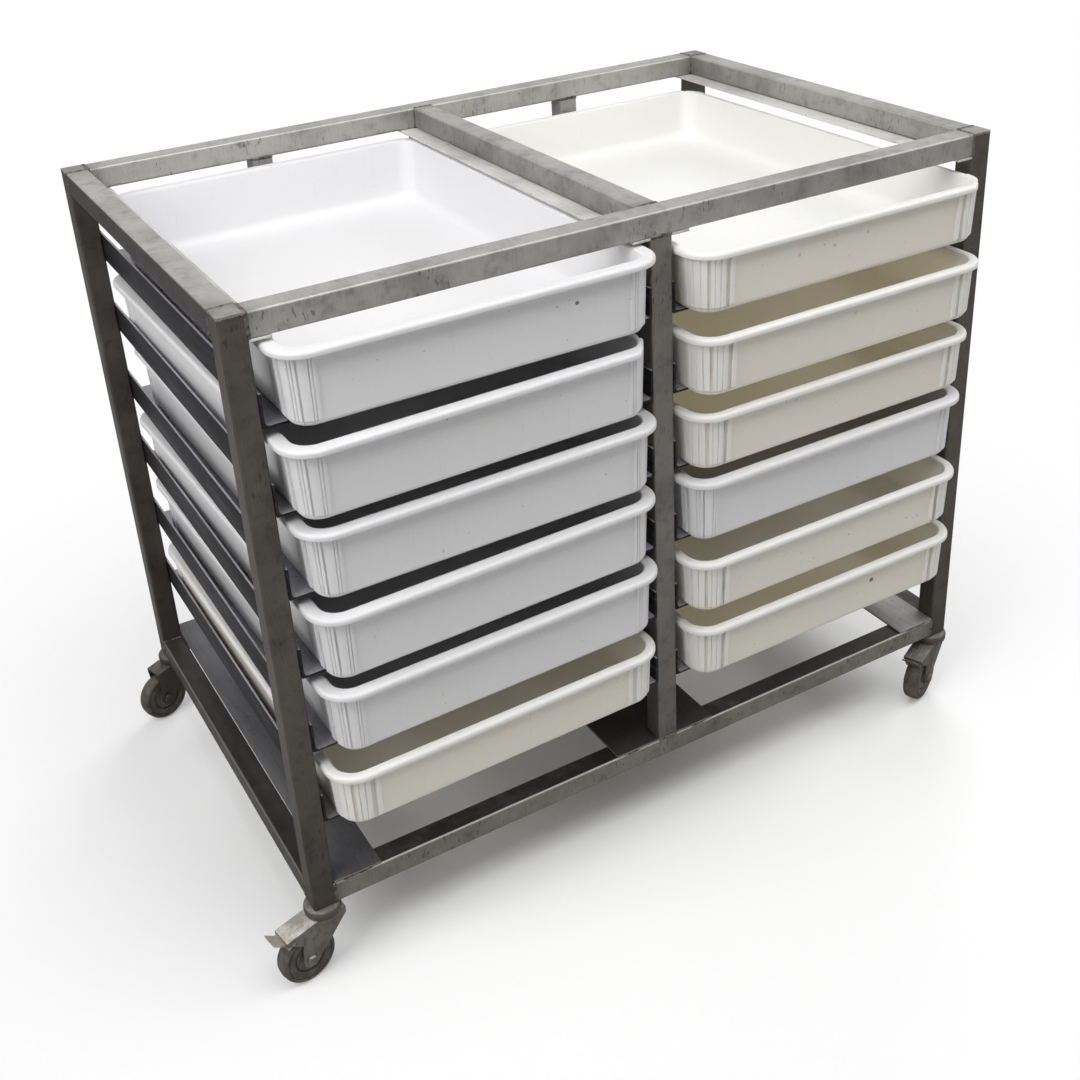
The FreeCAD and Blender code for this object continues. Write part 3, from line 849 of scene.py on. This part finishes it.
# How far the rear end of a skewed tray lies to the left of its front end
TRAY_SKEWS = {
    "tray_left_2": 12.5 * MM,
    "tray_left_3": 7.0 * MM,
    "tray_left_4": 20.0 * MM,
    "tray_left_5": 15.5 * MM,
    "tray_left_6": 11.0 * MM,
}

# Place, radius and strength of the dark spots on the tray fronts
TRAY_MARKS = (
    ((-0.132, -0.359, 0.820), 3.2 * MM, 1.0),
    ((0.331, -0.356, 0.285), 4.5 * MM, 1.0),
    ((0.175, -0.364, 0.807), 3.0 * MM, 0.35),
    ((0.229, -0.364, 0.807), 3.5 * MM, 0.30),
    ((0.281, -0.364, 0.813), 2.8 * MM, 0.35),
)

# Share of a painted glow on the inside of a covered cream tray, standing in for light through its thin walls
INSIDE_GLOW = {
    "tray_right_2": 0.95,
    "tray_right_3": 0.40,
    "tray_right_5": 0.50,
    "tray_right_6": 0.50,
    "tray_left_6": 0.40,
}

tray_half_x = box_size("tray_left_1").x / 2
tray_half_y = box_size("tray_left_1").y / 2
deep_height = box_size("tray_left_1").z
lip_corner = 40 * MM
lip_thickness = 8 * MM
wall_draft = 3 * MM
tray_floor = 4 * MM
rib_foot = 6 * MM
# Heights over their foot between which the ribs come out of the wall
rib_start, rib_full = 0.2 * MM, 2.2 * MM
# Steps out from the wall under the lip, between which the ribs end
rib_last, rib_end = 1.2 * MM, 3.2 * MM
front_steps, turn_steps, side_steps = 10, 19, 14
# Turn of the corner over which a trimmed lip runs out, as the outward direction's share to the right
trim_start, trim_end = 0.10, 0.65


class Walk(NamedTuple):
    """Stations round a tray: where the corner radius starts, outward direction, rib and groove shares."""

    core: np.ndarray
    outward: np.ndarray
    rib: np.ndarray
    groove: np.ndarray


def quarter_walk(kind, slope):
    """Stations from the middle of the front wall to the middle of the right-hand wall."""
    turn_length = (lip_corner - kind.lip_width + kind.wall) * math.pi / 2
    front = tray_half_x - lip_corner
    side = tray_half_y - lip_corner
    half = slope / 2
    rib_edges = [
        (start * MM - half, start * MM + half, end * MM - half, end * MM + half) for start, end in kind.ribs
    ]
    flute_edges = [(flute * MM - flute_half, flute * MM, flute * MM + flute_half) for flute in kind.flutes]
    edges = [edge for group in rib_edges + flute_edges for edge in group]
    even = np.concatenate((
        np.linspace(-front, 0, front_steps),
        np.linspace(0, turn_length, turn_steps)[1:-1],
        np.linspace(turn_length, turn_length + side, side_steps),
    ))
    clear = [spot for spot in even if min(abs(spot - edge) for edge in edges) > half]
    spots = np.array(sorted(clear + edges))
    angle = np.clip(spots, 0, turn_length) / turn_length * math.pi / 2
    outward = np.stack((np.sin(angle), -np.cos(angle)), axis=1)
    core = np.stack((
        front + np.minimum(spots, 0),
        -side + np.maximum(spots - turn_length, 0),
    ), axis=1)
    groove = sum(np.interp(spots, ends, (0, 1, 0)) for ends in flute_edges)
    rib = sum(np.interp(spots, ends, (0, 1, 1, 0)) for ends in rib_edges) - flute_share * groove
    first, last = kind.ribs[0][0] * MM, kind.ribs[-1][1] * MM
    between_ribs = np.where((spots > first) & (spots < last), 1 - rib, 0)
    return Walk(core, outward, rib, np.maximum(groove, between_ribs))


def full_walk(kind, slope):
    """Stations all the way round, counter-clockwise from the middle of the front wall."""
    quarter = quarter_walk(kind, slope)
    pieces = []
    for flip_x, flip_y, backward in ((1, 1, False), (1, -1, True), (-1, -1, False), (-1, 1, True)):
        flip = np.array((flip_x, flip_y))
        order = slice(-2, None, -1) if backward else slice(1, None)
        pieces.append(Walk(
            (quarter.core * flip)[order], (quarter.outward * flip)[order],
            quarter.rib[order], quarter.groove[order],
        ))
    return Walk(*(np.concatenate(parts) for parts in zip(*pieces)))


def tray_profile(kind, height, sizes):
    """Rings from the underside over the lip to the floor: inset from the lip's edge, level, rib share."""
    inset = kind.lip_width - kind.wall
    under_lip = height - lip_thickness
    foot = sizes.foot_radius
    rings = []
    for x, z in arc((0, foot), foot, -90, 0, 5):
        rings.append((inset + wall_draft + foot - x, z, 0.0))
    wall_levels = [(rib_foot + rib_start, 0.0), (rib_foot + rib_full, 1.0)]
    for share in (0.2, 0.4, 0.6, 0.8, 0.96):
        wall_levels.append((rib_foot + share * (under_lip - rib_foot), 1.0))
    for level, rib in wall_levels:
        rings.append((inset + wall_draft * (1 - level / under_lip), level, rib))
    under = sizes.lip_under_edge
    nose = sizes.lip_nose
    inner = sizes.lip_inner_edge
    rings.append((inset - rib_last, under_lip, 1.0))
    rings.append((inset - rib_end, under_lip, 0.0))
    lip = arc((-under, under_lip + under), under, -90, 0, 3)
    lip += arc((-nose, height - nose), nose, 0, 90, 6)
    lip += arc((-kind.lip_width + inner, height - inner), inner, 90, 180, 4)
    rings += [(-x, z, 0.0) for x, z in lip]
    floor = sizes.floor_radius
    for share in (0.3, 0.6):
        level = height - inner - share * (height - inner - tray_floor - floor)
        rings.append((kind.lip_width + wall_draft * share, level, 0.0))
    foot_arc = arc((-kind.lip_width - wall_draft - floor, tray_floor + floor), floor, 0, -90, 6)
    return rings + [(-x, z, 0.0) for x, z in foot_arc]


def tray_place(node):
    """Plan middle of a tray and the matrix of its skew, from the left and front edges of its box."""
    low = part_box(node)[0]
    sin = TRAY_SKEWS.get(node, 0.0) / (2 * tray_half_y)
    cos = math.sqrt(1 - sin * sin)
    core_x = tray_half_x - lip_corner
    core_y = tray_half_y - lip_corner
    reach = (core_x * cos + core_y * sin + lip_corner, core_x * sin + core_y * cos + lip_corner)
    return np.array((low.x + reach[0], low.y + reach[1])), np.array(((cos, sin), (-sin, cos)))


def build_tray(node, material, kind, sizes):
    """One moulded tray in its CAD node's place."""
    low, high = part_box(node)
    height = high.z - low.z
    middle, skew = tray_place(node)
    walk = full_walk(kind, sizes.rib_slope)
    rings = tray_profile(kind, height, sizes)
    ribbed_wall = lip_corner - (kind.lip_width - kind.wall) + sizes.rib_depth * walk.rib
    trim = np.interp(walk.outward[:, 0], (trim_start, trim_end), (0, 1)) * (node in TRIMMED_TRAYS)
    vertices, groove_dirt_and_shade, covered, inner = [], [], [], []
    for inset, level, rib in rings:
        reach = lip_corner - inset + rib * sizes.rib_depth * walk.rib
        reach += trim * (np.minimum(reach, ribbed_wall) - reach)
        plan = walk.core + walk.outward * reach[:, None]
        for x, y in plan @ skew + middle:
            vertices.append((x, y, low.z + level))
        # Groove share on the walls, darkened partly as dirt and partly as painted shade.
        on_wall = 1.0 if rib or level < 2 * rib_foot and inset < kind.lip_width + wall_draft else 0.0
        groove_dirt_and_shade.extend(walk.groove * on_wall)
        inside = inset > kind.lip_width and level < height - lip_thickness
        # Painted glow on the insides of covered trays.
        covered.extend([INSIDE_GLOW.get(node, 0.0) if inside else 0.0] * len(walk.rib))
        # Paler tone on ribs and lip band: painted light; inside, the plastic's own colour.
        paler = np.clip(walk.rib, 0, 1) * rib
        inner.extend(np.ones(len(paler)) if inside or level > height - lip_thickness else paler)
    stations = len(walk.rib)
    faces = ring_faces(len(rings), stations)
    faces.append(tuple(reversed(range(stations))))
    faces.append(tuple(range((len(rings) - 1) * stations, len(rings) * stations)))
    piece = new_piece(node + "_moulding", vertices, faces, material, node, (node,), sharp=35.0)
    for name, values in (("groove_dirt_and_shade", groove_dirt_and_shade), ("covered", covered), ("inner", inner)):
        piece.data.attributes.new(name, "FLOAT", "POINT").data.foreach_set("value", values)


class TROLLEY_OT_trays(bpy.types.Operator):
    """Mould the trays with their lips, corner ribs and rounded floors."""

    bl_idname = "trolley.trays"
    bl_label = "Trays"

    def execute(self, context):
        sizes = context.scene.trolley_trays
        white = tray_plastic("white_plastic", sizes.white_tone, sizes.white_tone)
        cream = tray_plastic("cream_plastic", sizes.cream_tone, sizes.cream_inner_tone)
        for bay in BAYS:
            for order in range(1, TRAYS_IN_BAY + 1):
                node = f"tray_{bay}_{order}"
                deep = math.isclose(box_size(node).z, deep_height, abs_tol=2 * MM)
                kind, material = (DEEP, white) if deep else (SHALLOW, cream)
                build_tray(node, material, kind, sizes)
        return {"FINISHED"}


# Casters

axle_edge = 0.5 * MM
pedal_edge = 0.7 * MM

# Top of the fork's hood, which slopes down from the head, and the bead on it
hood_level = 90.0 * MM
hood_start = 22.0 * MM
hood_slope = 5.5 / 39.0
hood_bead_start = 29.0 * MM
hood_bead_half = 5.0 * MM
braked_bead_end = 52.0 * MM
plain_bead_end = 35.0 * MM


def caster_places(corner):
    """Matrices to the trolley's frame, from the swivel's frame and from a wheel turned about Z.

    The swivel's frame stands on the floor and trails toward +X.
    """
    axis = box_centre(f"caster_{corner}_stem")
    wheel = box_centre(f"caster_{corner}_tyre")
    heading = math.atan2(wheel.y - axis.y, wheel.x - axis.x)
    trail = math.hypot(wheel.x - axis.x, wheel.y - axis.y)
    swivel = Matrix.Translation((axis.x, axis.y, 0)) @ Matrix.Rotation(heading, 4, "Z")
    axle = Matrix.Translation((trail, 0, wheel.z)) @ Matrix.Rotation(math.pi / 2, 4, "X")
    return swivel, swivel @ axle


def both_sides(profile):
    """Closed outline from its upper half."""
    return profile + [(radius, -level) for radius, level in reversed(profile)]


def tyre_profile(crown):
    """Half outline of the tyre: recess by the rim, flat side, ring groove, shoulder and crowned tread."""
    radius = 37.5
    shoulder = 4.5
    return [
        (19.05, 7.2), (20.3, 7.2), (20.8, 9.8), (21.6, 10.6), (23.0, 10.9), (28.6, 11.0), (29.2, 10.7),
        (29.6, 9.6), (30.8, 9.6), (31.2, 10.6), (31.8, 10.9), (32.6, 11.0),
        *arc((radius - shoulder - crown, 6.5), shoulder, 78, 12, 5),
        (radius - 0.45 * crown, 4.0), (radius - 0.25 * crown, 1.6), (radius, 0.8), (radius, 0.3),
    ]


def hub_profile():
    """Half outline of the hub: bore, barrel, shallow dish and rounded rim."""
    return [
        (4.05, 12.2), (8.0, 12.2), (9.0, 11.4), (9.3, 9.6), (10.4, 8.9), (15.2, 8.7), (16.2, 9.3),
        (17.8, 9.4), (18.6, 8.9), (19.0, 7.9),
    ]


def head_profile():
    """Closed outline of the swivel cup with the stem above and the king pin below."""
    return [
        (0.01, 142.5), (5.4, 142.5), (6.0, 141.9), (6.0, 105.0), (13.0, 105.0), (17.0, 104.6), (20.2, 103.6),
        (22.0, 102.5), (23.0, 101.0), (23.5, 99.0), (23.5, 95.2), (23.1, 94.2), (23.2, 92.6), (22.9, 91.4),
        (22.2, 91.0), (21.4, 91.4), (21.0, 92.4), (21.0, 101.0), (20.0, 102.0), (6.0, 102.0), (6.0, 87.3),
        (8.2, 87.3), (9.0, 86.6), (8.6, 85.2), (6.6, 84.4), (0.01, 84.3),
    ]


def in_metres(profile):
    return [(radius * MM, level * MM) for radius, level in profile]


class TROLLEY_OT_wheels(bpy.types.Operator):
    """Turn the tyres and hubs."""

    bl_idname = "trolley.wheels"
    bl_label = "Wheels"

    def execute(self, context):
        sizes = context.scene.trolley_casters
        rubber = dusty("grey_rubber", sizes.rubber_tone, sizes.dust_tone, 0.55)
        nylon = dusty("grey_nylon", sizes.nylon_tone, sizes.dust_tone, 0.42)
        tyre = in_metres(both_sides(tyre_profile(sizes.tread_crown / MM)))
        hub = in_metres(both_sides(hub_profile()))
        for corner in CORNERS:
            place = caster_places(corner)[1]
            body = f"caster_{corner}_wheel"
            for name, profile, finish, slot in (
                ("tyre", tyre, rubber, "grey_rubber"), ("hub", hub, nylon, "grey_nylon")
            ):
                node = f"caster_{corner}_{name}"
                vertices, faces = lathe(profile, place)
                faces = [tuple(reversed(face)) for face in faces]
                new_piece(node + "_turned", vertices, faces, finish, body, (node,))
        return {"FINISHED"}


def hood_bead(place, end, height):
    """Raised bead pressed into the sloping hood, up to its end."""
    start, half_width = hood_bead_start, hood_bead_half
    outline = arc((end, 0), half_width, -90, 90, 8) + arc((start, 0), half_width, 90, 270, 8)
    vertices = []
    layers = ((1.0, -0.2 * MM), (0.94, 0.35 * height), (0.80, 0.8 * height), (0.55, height))
    for share, rise in layers:
        for x, y in outline:
            nearest = min(max(x, start), end)
            bead_x = nearest + (x - nearest) * share
            bead_y = y * share
            level = hood_level - (bead_x - hood_start) * hood_slope + rise
            vertices.append(place @ Vector((bead_x, bead_y, level)))
    faces = ring_faces(len(layers), len(outline))
    faces.append(tuple(range((len(layers) - 1) * len(outline), len(layers) * len(outline))))
    return vertices, faces


class TROLLEY_OT_forks(bpy.types.Operator):
    """Finish the swivel heads, forks, axles and pedals."""

    bl_idname = "trolley.forks"
    bl_label = "Forks and heads"

    def execute(self, context):
        sizes = context.scene.trolley_casters
        grimy = zinc_plate("grimy_zinc", sizes.rear_tone, 0.15)
        forks = dict.fromkeys(CORNERS, grimy)
        forks["front_left"] = zinc_plate("bright_zinc", sizes.zinc_tone, 1.0)
        forks["front_right"] = zinc_plate("dull_zinc", sizes.dull_tone, 0.30)
        brown = zinc_plate("brown_zinc", sizes.head_tone, 0.20)
        worn = zinc_plate("worn_zinc", sizes.pedal_tone, 0.60)
        for corner in CORNERS:
            zinc = forks[corner]
            braked = corner in BRAKED_CORNERS
            head, bead_end = (brown, braked_bead_end) if braked else (grimy, plain_bead_end)
            caster = f"caster_{corner}_"
            swivel, stem = caster + "swivel", caster + "stem"
            place = caster_places(corner)[0]
            vertices, faces = lathe(in_metres(head_profile()), place, steps=64)
            new_piece(stem + "_turned", vertices, faces, head, "frame", (stem,))
            eased_copy(caster + "fork", zinc, swivel, sizes.pressing_edge)
            eased_copy(caster + "axle", zinc, swivel, axle_edge)
            bead, bead_faces = hood_bead(place, bead_end, sizes.hood_bead)
            new_piece(caster + "hood_bead", bead, bead_faces, zinc, swivel)
        for corner, zinc in (("front_left", worn), ("front_right", forks["front_right"])):
            pedal = f"caster_{corner}_pedal"
            eased_copy(pedal, zinc, pedal, pedal_edge)
        coat("stem_plugs", grimy)
        return {"FINISHED"}


# Stage

CAMERA_PLACE = Vector((-0.8543, -1.5804, 1.3943))
CAMERA_AZIMUTH = math.radians(-28.76)
CAMERA_ELEVATION = math.radians(26.45)
CAMERA_ROLL = math.radians(3.256)
CAMERA_LENS = 46.54
CAMERA_SHIFT = (-0.0015, -0.1179)


def add_camera():
    """Camera at the photograph's viewing angle."""
    pitch = math.pi / 2 - CAMERA_ELEVATION
    tilted = Matrix.Rotation(CAMERA_AZIMUTH, 4, "Z") @ Matrix.Rotation(pitch, 4, "X")
    data = bpy.data.cameras.new("camera")
    data.sensor_width = 36.0
    data.lens = CAMERA_LENS
    data.shift_x, data.shift_y = CAMERA_SHIFT
    camera = add_object("camera", data)
    rolled = tilted @ Matrix.Rotation(-CAMERA_ROLL, 4, "Z")
    camera.matrix_world = Matrix.Translation(CAMERA_PLACE) @ rolled
    bpy.context.scene.camera = camera


def add_softbox(name, place, target, size, power, mirrored=True):
    """Area lamp, which smooth steel may be kept from mirroring."""
    data = bpy.data.lights.new(name, "AREA")
    data.shape = "RECTANGLE"
    data.size, data.size_y = size
    data.energy = power
    lamp = add_object(name, data)
    lamp.location = place
    lamp.visible_glossy = mirrored
    lamp.rotation_mode = "QUATERNION"
    lamp.rotation_quaternion = (Vector(target) - Vector(place)).to_track_quat("-Z", "Y")


def backdrop_rays(nodes):
    """1 for rays that see the white background: straight from the camera, mirrored or passed on."""
    kinds = ("Is Camera Ray", "Is Glossy Ray", "Is Transmission Ray")
    seen, glossy, through = [nodes.add("ShaderNodeLightPath", output=kind) for kind in kinds]
    return seen + glossy + through


def set_world(ambient):
    """White background with a soft, weaker light from all round."""
    world = bpy.data.worlds.new("studio")
    bpy.context.scene.world = world
    nodes = Nodes(world)
    seen = nodes.step(backdrop_rays(nodes), 0.0, 1.0)
    strength = ambient + (1.0 - ambient) * seen
    light = nodes.add("ShaderNodeBackground", None, {"Color": (1.0, 1.0, 1.0), "Strength": strength})
    nodes.add("ShaderNodeOutputWorld", None, {"Surface": light})


def add_floor(tone, bounce):
    """Pale floor that keeps the shadow near the trolley and fades into the white background."""
    half = 14.0
    shadow_end, white_start = 0.30, 1.35
    mesh = bpy.data.meshes.new("floor")
    corners = [(-half, -half, 0), (half, -half, 0), (half, half, 0), (-half, half, 0)]
    mesh.from_pydata(corners, [], [(0, 1, 2, 3)])
    nodes, place = new_material("floor")
    distance = nodes.add("ShaderNodeVectorMath", {"operation": "LENGTH"}, {0: place}, output="Value")
    specks = nodes.noise(place, 30.0, 3.0)
    darker = tuple(0.985 * part for part in tone)
    camera = nodes.add("ShaderNodeLightPath", output="Is Camera Ray")
    seen = nodes.mixed(camera, bounce, nodes.mixed(specks, tone, darker))
    matt = nodes.add("ShaderNodeBsdfDiffuse", None, {"Color": seen})
    glow = nodes.add("ShaderNodeEmission", None, {"Color": (1.0, 1.0, 1.0), "Strength": 1.0})
    fade = camera * nodes.step(distance, shadow_end, white_start)
    blend = nodes.add("ShaderNodeMixShader", None, {0: fade, 1: matt, 2: glow})
    nodes.add("ShaderNodeOutputMaterial", None, {"Surface": blend})
    mesh.materials.append(nodes.owner)
    add_object("floor", mesh)


class TROLLEY_OT_stage(bpy.types.Operator):
    """Set the floor, the lamps and the camera."""

    bl_idname = "trolley.stage"
    bl_label = "Stage"

    def execute(self, context):
        stage = context.scene.trolley_stage
        context.scene.view_settings.view_transform = "Standard"
        middle = (0.0, 0.0, 0.6)
        add_floor(stage.floor_tone, stage.bounce_tone)
        add_softbox("left_softbox", (-2.1, -0.7, 2.4), middle, (1.8, 1.8), stage.left_power)
        add_softbox("right_softbox", (2.2, -1.0, 2.3), middle, (1.8, 1.8), stage.right_power)
        add_softbox("front_softbox", (0.0, -1.2, 3.2), middle, (1.8, 1.8), stage.front_power)
        add_softbox("back_softbox", (2.1, 2.2, 2.0), middle, (1.8, 1.4), stage.back_power, mirrored=False)
        set_world(stage.ambient)
        add_camera()
        return {"FINISHED"}


# Add-on

SETTINGS = {
    "trolley_steel": SteelSettings,
    "trolley_trays": TraySettings,
    "trolley_casters": CasterSettings,
    "trolley_stage": StageSettings,
}
STEPS = (
    TROLLEY_OT_tubes,
    TROLLEY_OT_sheet,
    TROLLEY_OT_welds,
    TROLLEY_OT_trays,
    TROLLEY_OT_wheels,
    TROLLEY_OT_forks,
    TROLLEY_OT_stage,
)


class TROLLEY_PT_panel(bpy.types.Panel):
    """Steps and settings of the trolley."""

    bl_idname = "TROLLEY_PT_panel"
    bl_label = "Tray trolley"
    bl_space_type = "VIEW_3D"
    bl_region_type = "UI"
    bl_category = "Trolley"

    def draw(self, context):
        for step in STEPS:
            self.layout.operator(step.bl_idname)
        for name, group in SETTINGS.items():
            box = self.layout.box()
            box.label(text=group.__doc__)
            for setting in group.__annotations__:
                label = setting.replace("_", " ").capitalize()
                box.prop(getattr(context.scene, name), setting, text=label)


def register():
    for name, group in SETTINGS.items():
        bpy.utils.register_class(group)
        setattr(bpy.types.Scene, name, PointerProperty(type=group))
    for step in STEPS:
        bpy.utils.register_class(step)
    bpy.utils.register_class(TROLLEY_PT_panel)


def unregister():
    bpy.utils.unregister_class(TROLLEY_PT_panel)
    for step in reversed(STEPS):
        bpy.utils.unregister_class(step)
    for name, group in reversed(SETTINGS.items()):
        delattr(bpy.types.Scene, name)
        bpy.utils.unregister_class(group)


def main():
    register()
    for step in STEPS:
        getattr(bpy.ops.trolley, step.bl_idname.split(".")[1])()


if __name__ == "__main__":
    main()
